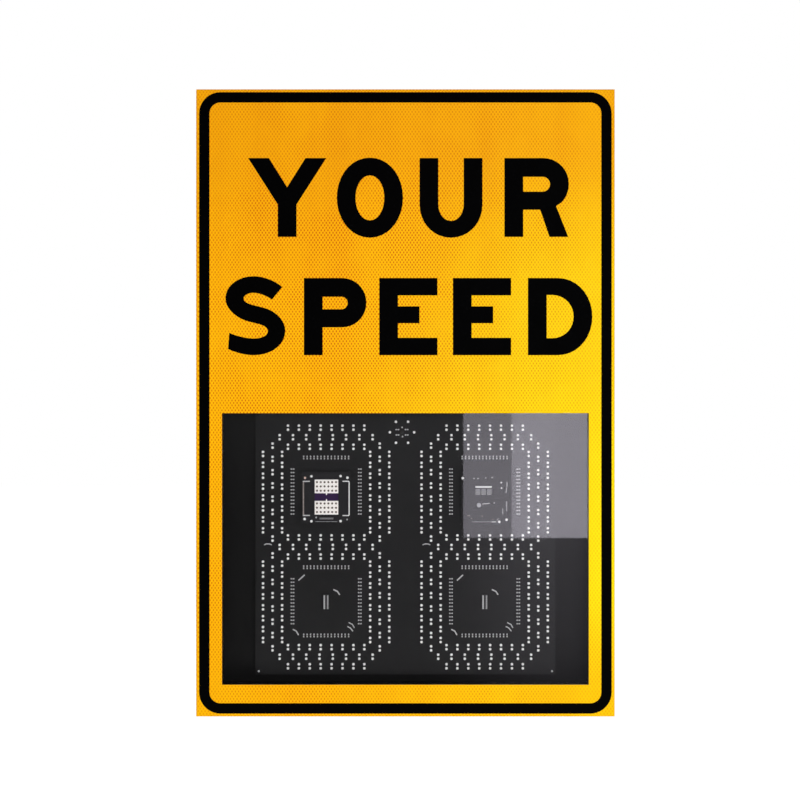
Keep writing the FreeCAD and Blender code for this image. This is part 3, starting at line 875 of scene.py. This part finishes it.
def makeAntenna():
    low, high, middle = spanOf("radar_antennas")
    wide, tall = high.x - low.x, high.z - low.z
    groundThick, patchTall, stemThick = radar["ground"], radar["patchTall"], radar["stemThick"]
    ground = startBlock("ground", (wide, groundThick, tall), (middle.x, high.y - groundThick / 2, middle.z))
    parts = [paint(softEdges(ground, 0.15 * mm), purpleMask)]
    thick = high.y - low.y - groundThick
    spots = makeSpots(low.y)
    stubTall = (tall - 2 * patchTall - radar["stemGap"]) / 2
    for side in (-1, 1):
        level = middle.z + side * (tall - patchTall) / 2
        patch = startBlock("patch", (wide, thick, patchTall), (middle.x, low.y + thick / 2, level))
        parts.append(paint(softEdges(patch, radar["edge"], 2), antennaWhite))
        parts.append(copyTo(spots, (middle.x, 0, level)))
        # feed stub, narrower towards the middle
        level = middle.z + side * (radar["stemGap"] + stubTall) / 2
        place = Vector((middle.x, high.y - groundThick - stemThick / 2, level))
        stub = startBlock("stub", (radar["stem"], stemThick, stubTall), place)
        openEdit(stub)
        pickFaces(stub, lambda centre, normal: normal.z * side < -0.9)
        bpy.ops.transform.resize(value=(0.5, 1, 1), center_override=place)
        closeEdit()
        parts.append(paint(softEdges(stub, 0.08 * mm), antennaWhite))
    discard(spots)
    seat(joinAs("antennaPatches", parts), "antenna_white", "radar_antennas")


def stroke(wide, *spots):
    # outline of a pen line through the spots
    spots = [Vector(spot) for spot in spots]
    left, right = [], []
    for k, spot in enumerate(spots):
        run = (spots[min(k + 1, len(spots) - 1)] - spots[max(k - 1, 0)]).normalized()
        side = Vector((-run.y, run.x)) * wide / 2
        left.append(tuple(spot + side))
        right.append(tuple(spot - side))
    return [left + right[::-1]]


def bracket(x, arm, top, low, wide):
    # square bracket with softened corners, open towards the arm
    half, end = math.copysign(wide / 2, arm), x + arm
    outer, inner = x - half, x + half
    return [[(outer, top, 2.2, 2.2), (outer, low, 2.2, 2.2), (end, low), (end, low + wide),
             (inner, low + wide, 0.9, 0.9), (inner, top - wide, 0.9, 0.9), (end, top - wide), (end, top)]]


prints = {  # pen lines: width and spots in mm, from the middle of a module or of a lower loop
    "thick": 0.08 * mm,
    "radar": [
        (inkDim, 1.9, (-33.2, 22.3), (-33.2, -26.3)),
        (ink, 1.7, (-34.1, 23.1), (-23.7, 23.1)),
        (ink, 1.7, (-34.1, -27.1), (-23.7, -27.1)),
        (inkBright, bracket(34.1, -9.7, 24.0, -28.0, 1.5)),
        (inkMid, 0.7, (-15.5, -36.2), (16.5, -36.2)),
    ],
    "control": [
        (inkMid, 0.75, (-19.0, -36.6), (9.9, -36.6)),
        (ink, 1.5, (9.9, -36.6), (16.9, -36.6)),
        (ink, 1.1, (32.8, 22.5), (32.6, 15.0)),
        (ink, 0.9, (32.2, 14.0), (31.0, 5.5)),
        (inkMid, 1.7, (31.8, -6.2), (32.2, -21.0)),
        (inkMid, 1.4, (26.4, -16.7), (26.4, -26.3)),
        (ink, 1.3, (-4.0, -10.4), (7.0, -9.2)),
        (ink, 1.5, (13.0, -8.8), (14.6, -8.8)),
        (ink, 0.7, (17.5, -34.4), (20.4, -31.5)),
        (inkMid, 1.5, (-17.4, 27.3), (-14.8, 27.3)),
        (inkMid, 1.5, (-11.6, 27.3), (-8.8, 27.3)),
        (inkMid, 1.8, (0.4, 28.4), (2.4, 28.4)),
        (inkMid, 1.5, (9.3, 29.0), (12.5, 29.0)),
        (inkDim, 1.6, (-25.8, -27.4), (-22.0, -27.4)),
        (inkDim, 1.2, (-20.4, -30.8), (-18.8, -32.4)),
        (inkDim, 1.8, (-4.8, -28.0), (-2.8, -28.0)),
        (inkDim, 1.2, (10.5, -32.9), (12.5, -32.9)),
    ],
    "loop": [
        (ink, 1.9, (-40.8, 31.5), (-31.9, 39.7)),
        (ink, 1.8, (10.7, 18.1), (16.6, 15.4), (19.9, 10.3)),
        (ink, 1.8, (-49.3, -40.6), (-44.2, -43.2), (-40.8, -49.1)),
        (ink, 1.6, (33.3, -30.7), (38.8, -33.4), (41.7, -38.5)),
        (ink, 1.6, (31.2, -36.4), (35.6, -38.6), (39.6, -43.5)),
        (ink, 1.4, (-91.6, 83.9), (-88.6, 85.4), (-83.4, 85.4), (-80.4, 83.9)),
    ],
}


def makePrint(name, marks, *middles):
    parts = []
    for middle in middles:
        for finish, *mark in marks:
            loops = stroke(*mark) if len(mark) > 1 else mark[0]
            parts.append(paint(flatShape("mark", loops, prints["thick"], middle), finish))
    seat(joinAs(name, parts), "lamp_white")


def frontMiddle(board):
    low, _, middle = spanOf(board)
    return Vector((middle.x, low.y, middle.z))


def makeDots(name, middle, finish, scale, spots):
    # round heads on a board, at (x, z) in mm from middle
    head = paint(makeScrew(middle.y), finish)
    head.data.transform(Matrix.Diagonal((scale, 1, scale, 1)))
    copies = [copyTo(head, (middle.x + x * mm, 0, middle.z + z * mm)) for x, z in spots]
    discard(head)
    seat(joinAs(name, copies), "lamp_white")


radarPlug = {
    "size": (20.5 * mm, 2.4 * mm, 2.6 * mm), "place": (0.8 * mm, -1.2 * mm, -31.5 * mm),
    "wall": 0.45 * mm, "deep": 1.4 * mm, "soft": 0.15 * mm, "pins": 9, "pinStep": 2.0 * mm,
    "pin": (0.5 * mm, 1.2 * mm, 0.5 * mm), "pinBack": 0.0, "pinSoft": 0.08 * mm,
}


def makePlug(name, look, size, place, finish):
    # hollow strip with a row of pins
    plug = stepFront(startBlock("strip", size, place), look["wall"], look["deep"])
    paint(softEdges(plug, look["soft"]), finish)
    first = (place.x - look["pinStep"] * (look["pins"] - 1) / 2, place.y + look["pinBack"], place.z)
    pin = inRow(startBlock("pin", look["pin"], first), look["pins"], (look["pinStep"], 0, 0))
    paint(softEdges(pin, look["pinSoft"]), tin)
    return joinAs(name, [plug, pin])


radarMiddle, controlMiddle = frontMiddle("radar_board"), frontMiddle("control_board")
sensorMiddle = Vector((ringMiddle.x, boardFront, ringMiddle.z))
lowerLoops = []
for side in ("left", "right"):
    middle = middleOf(side + "_digit_leds")
    lowerLoops.append(Vector((middle.x, boardFront, middle.z - lamps["rise"] / 2)))
dots = [
    ("radarScrews", radarMiddle, nylon, 1.0,
     [(-21.4, 30.6), (21.6, 30.9), (-21.4, -35.6), (21.6, -35.4), (31.7, 28.5), (-31.4, -32.3)]),
    ("radarTestPins", radarMiddle, copperDot, 0.9, [(-30.8, 28.2)]),
    ("radarPads", radarMiddle, tin, 0.6, [(-14.3, -30.0), (31.2, -33.0)]),
    ("controlScrews", controlMiddle, nylon, 1.0, [(-32.5, 27.9), (32.0, -33.4), (21.2, -36.4)]),
    ("controlPads", controlMiddle, tin, 0.74, [(24.2, 21.3), (24.6, 13.3)]),
    ("sensorPads", sensorMiddle, tin, 0.62, [(0.1, 7.2), (0.7, -6.4)]),
]
makeAntenna()
makePrint("radarPrint", prints["radar"], radarMiddle)
makePrint("controlPrint", prints["control"], controlMiddle)
makePrint("boardPrint", prints["loop"], *lowerLoops)
for row in dots:
    makeDots(*row)
plugPlace = radarMiddle + Vector(radarPlug["place"])
seat(makePlug("radarPlug", radarPlug, radarPlug["size"], plugPlace, greyResin), "dark_plastic")
print("radar module done")


# control module parts, driver headers and the light sensor

chips = {
    "count": 3, "wide": 7.0 * mm, "gap": 1.5 * mm, "lift": 0.4 * mm, "rim": 0.4 * mm, "crown": 0.1 * mm,
    "leg": (0.6 * mm, 0.5 * mm, 1.4 * mm), "legs": 5, "legStep": 1.25 * mm,
    "legIn": 1.0 * mm, "legOut": 0.3 * mm,
}


def makeChips():
    low, high, middle = spanOf("control_chips")
    wide, lift = chips["wide"], chips["lift"]
    size = (wide, high.y - low.y - lift, high.z - low.z)
    chip = startBlock("chip", size, (low.x + wide / 2, middle.y - lift / 2, middle.z))
    stepFront(chip, chips["rim"], -chips["crown"])
    parts = [paint(softEdges(chip, 0.2 * mm), greyResin)]
    for side, z in ((-1, low.z), (1, high.z)):
        place = (low.x + chips["legIn"], high.y - chips["leg"][1] / 2, z + side * chips["legOut"])
        leg = inRow(startBlock("leg", chips["leg"], place), chips["legs"], (chips["legStep"], 0, 0))
        parts.append(paint(softEdges(leg, 0.06 * mm), tin))
    row = inRow(joinAs("controlChips", parts), chips["count"], (wide + chips["gap"], 0, 0))
    seat(row, "dark_plastic", "control_chips")


barPlug = {
    "wall": 0.5 * mm, "deep": 2.5 * mm, "soft": 0.2 * mm, "pins": 11, "pinStep": 2.0 * mm,
    "pin": (0.6 * mm, 2.6 * mm, 0.6 * mm), "pinBack": 0.8 * mm, "pinSoft": 0.1 * mm,
}


def makeBarConnector():
    low, high, middle = spanOf("control_connector")
    bar = makePlug("barConnector", barPlug, high - low, middle, nylon)
    seat(bar, "antenna_white", "control_connector")


can = {"rim": 0.14, "ring": 0.1, "sunk": 0.3 * mm, "edge": 0.25 * mm, "foot": 2.05, "footThick": 1.2 * mm}


def makeCapacitor():
    low, high, middle = spanOf("control_capacitor")
    radius = (high.x - low.x) / 2
    drum = startRound("drum", radius, high.y - low.y, middle, 32)
    openEdit(drum)
    pickFaces(drum, facesFront)
    bpy.ops.mesh.inset(thickness=radius * can["rim"])
    pushOut((0, can["sunk"], 0))
    bpy.ops.mesh.inset(thickness=radius * can["ring"])
    pickEdges(drum, lambda spot, run: abs(spot.y - low.y) < 0.05 * mm)
    bpy.ops.mesh.bevel(offset=can["edge"], segments=2)
    closeEdit()
    paint(smoothOver(drum, 35), caseMetal)
    wide, thick = radius * can["foot"], can["footThick"]
    foot = startBlock("foot", (wide, thick, wide), (middle.x, high.y - thick / 2, middle.z))
    paint(softEdges(foot, 0.3 * mm), chipResin)
    seat(joinAs("controlCapacitor", [drum, foot]), "can", "control_capacitor")


headers = {
    "wide": 9.0 * mm, "base": 2.5 * mm, "perRow": 8, "pitch": 2.54 * mm, "aside": 2.47 * mm,
    "pin": (2.15 * mm, 3.5 * mm, 2.0 * mm), "pinBack": 4.2 * mm, "pinRim": 0.45 * mm, "pinCrown": 0.02 * mm,
}


def makeDriverHeaders():
    low, high, middle = spanOf("driver_headers")
    wide, thick, pitch = headers["wide"], headers["base"], headers["pitch"]
    x, z = low.x + wide / 2, middle.z
    base = startBlock("base", (wide, thick, high.z - low.z), (x, high.y - thick / 2, z))
    parts = [paint(softEdges(base, 0.3 * mm), headerResin)]
    start = z - pitch * (headers["perRow"] - 1) / 2
    # the right-hand row of pins takes the darker copy of tin: painted shade
    for aside, finish in ((-headers["aside"], tin), (headers["aside"], shadedTin)):
        pin = startBlock("pin", headers["pin"], (x + aside, high.y - headers["pinBack"], start))
        stepFront(pin, headers["pinRim"], -headers["pinCrown"])
        softEdges(pin, 0.2 * mm)
        parts.append(paint(inRow(pin, headers["perRow"], (0, 0, pitch)), finish))
    both = inRow(joinAs("driverHeaders", parts), 2, (high.x - low.x - wide, 0, 0))
    seat(both, "dark_plastic", "driver_headers")


sensor = {
    "thick": 1.2 * mm, "rim": 0.18, "dome": 0.34, "domeThick": 0.6 * mm, "domeOut": 1.5 * mm,
    "steps": ((0.5 * mm, 0.86), (0.25 * mm, 0.6)),  # how far out, and how far it narrows
}


def makeSensor():
    low, high, middle = spanOf("light_sensor")
    wide, thick = high.x - low.x, sensor["thick"]
    body = startBlock("sensor", (wide, thick, wide), (middle.x, high.y - thick / 2, middle.z))
    openEdit(body)
    pickFaces(body, facesFront)
    bpy.ops.mesh.inset(thickness=wide * sensor["rim"])
    closeEdit()
    paint(softEdges(body, 0.2 * mm), chipResin)
    place = (middle.x, high.y - sensor["domeOut"], middle.z)
    dome = startRound("dome", wide * sensor["dome"], sensor["domeThick"], place)
    openEdit(dome)
    pickFaces(dome, facesFront)
    for reach, factor in sensor["steps"]:
        pushOut((0, -reach, 0))
        shrink(factor, middle)
    closeEdit()
    paint(smoothOver(dome, 50), headerResin)
    seat(joinAs("lightSensor", [body, dome]), "dark_plastic", "light_sensor")


makeChips()
makeBarConnector()
makeCapacitor()
makeDriverHeaders()
makeSensor()
print("control parts done")


# back: blind rivets on the rails, flush screws round the pan

back = {
    "rivetRadius": 4.6 * mm, "rivetTall": 1.5 * mm, "rivetEvery": 95.0 * mm, "flangeMiddle": 35.0 * mm,
    "flangeThick": 3.0 * mm, "rivetBase": 0.3, "rivetDome": ((0.4, 0.86), (0.2, 0.7)),  # shares of its height
    "stemRim": 0.16, "stemSunk": 0.4, "screwRadius": 4.0 * mm, "screwProud": 0.25 * mm, "screwY": -74.0 * mm,
    "screwLevels": (-390 * mm, -130 * mm, 130 * mm, 390 * mm), "screwAcross": (-220 * mm, 0, 220 * mm),
}


def makeRivets():
    for rail in ("upper_rail", "lower_rail"):
        low, _, middle = spanOf(rail)
        seatY = low.y + back["flangeThick"]
        radius, tall = back["rivetRadius"], back["rivetTall"]
        base = tall * back["rivetBase"]
        rivet = startRound("rivet", radius, base, (0, seatY + base / 2, 0), 24)
        openEdit(rivet)
        pickFaces(rivet, facesBack)
        for reach, factor in back["rivetDome"]:
            pushOut((0, tall * reach, 0))
            shrink(factor, (0, seatY, 0))
        bpy.ops.mesh.inset(thickness=radius * back["stemRim"])
        pushOut((0, -tall * back["stemSunk"], 0))  # the broken stem sits low in the head
        closeEdit()
        paint(smoothOver(rivet, 40), rivetMetal)
        copies = []
        for side in (-1, 1):
            level = middle.z + side * back["flangeMiddle"]
            for k in range(-2, 3):
                copies.append(copyTo(rivet, (middle.x + k * back["rivetEvery"], 0, level)))
        discard(rivet)
        seat(joinAs(rail.split("_")[0] + "Rivets", copies), "aluminium")


def makeSideScrews():
    low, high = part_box("face_panel")
    proud = back["screwProud"]
    places = [(side, 0, z) for side in (-1, 1) for z in back["screwLevels"]]
    places += [(0, side, x) for side in (-1, 1) for x in back["screwAcross"]]
    screw = makeScrew(0.0)
    scale = back["screwRadius"] / screws["radius"]
    screw.data.transform(Matrix.Diagonal((scale, proud / screws["tall"], scale, 1)))
    copies = []
    for sideX, sideZ, along in places:
        twin = copyTo(screw, (0, 0, 0))
        if sideX:
            twin.data.transform(Matrix.Rotation(math.radians(90 * sideX), 4, "Z"))
            place = (high.x if sideX > 0 else low.x, back["screwY"], along)
        else:
            twin.data.transform(Matrix.Rotation(math.radians(-90 * sideZ), 4, "X"))
            place = (along, back["screwY"], high.z if sideZ > 0 else low.z)
        twin.data.transform(Matrix.Translation(place))
        copies.append(twin)
    discard(screw)
    seat(joinAs("panScrews", copies), "aluminium")


makeRivets()
makeSideScrews()
dress(glandResin, "gland_body", "gland_cap")
print("back done")


# stage: white floor and surround, soft lamps, camera

studio = {
    "floor": -0.80, "floorSize": 14.0, "floorFront": -1.8, "floorGlow": 0.5,
    "fill": 0.64, "roomDim": 0.02, "ceiling": 0.08,
    "lamps": [
        ("keyLamp", (0.5, -1.8, -0.5), 1.2, 16.0),
        ("topLamp", (-1.5, -2.0, 1.2), 1.3, 3.0),
        ("backLamp", (-1.4, 2.2, 1.4), 1.4, 16.0),
    ],
    "windowFar": -3.2,  # the room's window, which the pane mirrors
    "windowTint": (0.925, 0.881, 1.0),
    "window": [  # left, right, low, high and glow
        ("windowLeft", 0.204, 0.374, -0.475, 1.0, 1.65),
        ("windowRight", 0.374, 1.2, -0.475, 1.0, 3.2),
        ("windowSill", 0.05, 1.2, -1.1, -0.475, 0.487),
    ],
    "sillFull": 0.55, "sillEnd": -1.25,  # x where its glow is whole, z where it would be gone
}


def rayKinds(tree):
    path = tree.nodes.new("ShaderNodeLightPath").outputs
    return [Wire(path[kind]) for kind in ("Is Camera Ray", "Is Glossy Ray", "Is Transmission Ray")]


def makeFloor():
    pickNone()
    middle = studio["floorFront"] + studio["floorSize"] / 2  # it ends before the pane could mirror it
    bpy.ops.mesh.primitive_plane_add(size=studio["floorSize"], location=(0, middle, studio["floor"]))
    floor = settle(bpy.context.object, "studioFloor")
    finish, place = newFinish("studioFloor")
    camera, glossy, through = rayKinds(place.tree)
    seen = camera.above(glossy).above(through)
    matt = seen.node("ShaderNodeBsdfDiffuse", None, {"Color": (0.8, 0.8, 0.8)})
    glow = seen.node("ShaderNodeEmission", None, {"Color": (1, 1, 1), "Strength": studio["floorGlow"]})
    lifted = seen.node("ShaderNodeAddShader", None, {0: matt, 1: glow})
    mixed = seen.node("ShaderNodeMixShader", None, {0: seen, 1: matt, 2: lifted})
    paint(floor, shadedBy(finish, mixed))


def makeSurround():
    # white behind the sign, a dim room on the side it faces
    world = bpy.data.worlds.new("studioWorld")
    world.use_nodes = True
    tree = world.node_tree
    camera, glossy, through = rayKinds(tree)
    _, toward, up = Wire(tree.nodes.new("ShaderNodeTexCoord").outputs["Generated"]).axes()
    white = toward.ramp(-0.5, 0.1) + up.ramp(-0.1, 0.05) * studio["ceiling"] + studio["roomDim"]
    level = camera.above(glossy * white).above(through)
    seen = camera.above(glossy).above(through)
    sockets = tree.nodes["Background"].inputs
    sockets["Color"].default_value = (1, 1, 1, 1)
    (level * seen + (1 - seen) * studio["fill"]).into(sockets["Strength"])
    bpy.context.scene.world = world


def makeSoftbox(name, place, aim, wide, tall, watts):
    light = bpy.data.lights.new(name, "AREA")
    light.shape = "RECTANGLE"
    light.size, light.size_y = wide, tall
    light.energy = watts
    obj = bpy.data.objects.new(name, light)
    bpy.context.collection.objects.link(obj)
    obj.location = place
    obj.rotation_euler = (Vector(aim) - Vector(place)).to_track_quat("-Z", "Y").to_euler()
    obj.visible_camera = False
    return obj


def fadeSill(light, left):
    # its glow grows to the right and dies away downwards
    light.use_nodes = True
    tree = light.node_tree
    x, _, z = Wire(tree.nodes.new("ShaderNodeNewGeometry").outputs["Position"]).axes()
    glow = x.ramp(left, studio["sillFull"]) * (z - studio["sillEnd"])
    glow.into(tree.nodes["Emission"].inputs["Strength"])


def makeLights():
    for name, place, size, watts in studio["lamps"]:
        makeSoftbox(name, place, (0, 0, 0), size, size, watts).visible_glossy = place[1] > 0
    for name, left, right, low, high, glow in studio["window"]:
        wide, tall = right - left, high - low
        place = Vector(((left + right) / 2, studio["windowFar"], (low + high) / 2))
        card = makeSoftbox(name, place, place + Vector((0, 1, 0)), wide, tall, glow * wide * tall * math.pi)
        card.data.color = studio["windowTint"]
        if name == "windowSill":
            fadeSill(card.data, left)


def makeCamera():
    # straight on, at the middle of the sign; the photo's frame is 800 pixels square
    shot = {"distance": 2.2, "seenWidth": 1.1644, "frame": 800, "rightOfMiddle": 5.4, "belowMiddle": 2.9}
    camera = bpy.data.objects.new("camera", bpy.data.cameras.new("camera"))
    bpy.context.collection.objects.link(camera)
    camera.location = (0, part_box("reflective_sheeting")[0].y - shot["distance"], 0)
    camera.rotation_euler = (math.radians(90), 0, 0)
    camera.data.angle = 2 * math.atan(shot["seenWidth"] / 2 / shot["distance"])
    camera.data.shift_x = -shot["rightOfMiddle"] / shot["frame"]
    camera.data.shift_y = shot["belowMiddle"] / shot["frame"]
    bpy.context.scene.camera = camera


makeFloor()
makeSurround()
makeLights()
makeCamera()
bpy.context.scene.view_settings.view_transform = "Standard"
print("stage done")
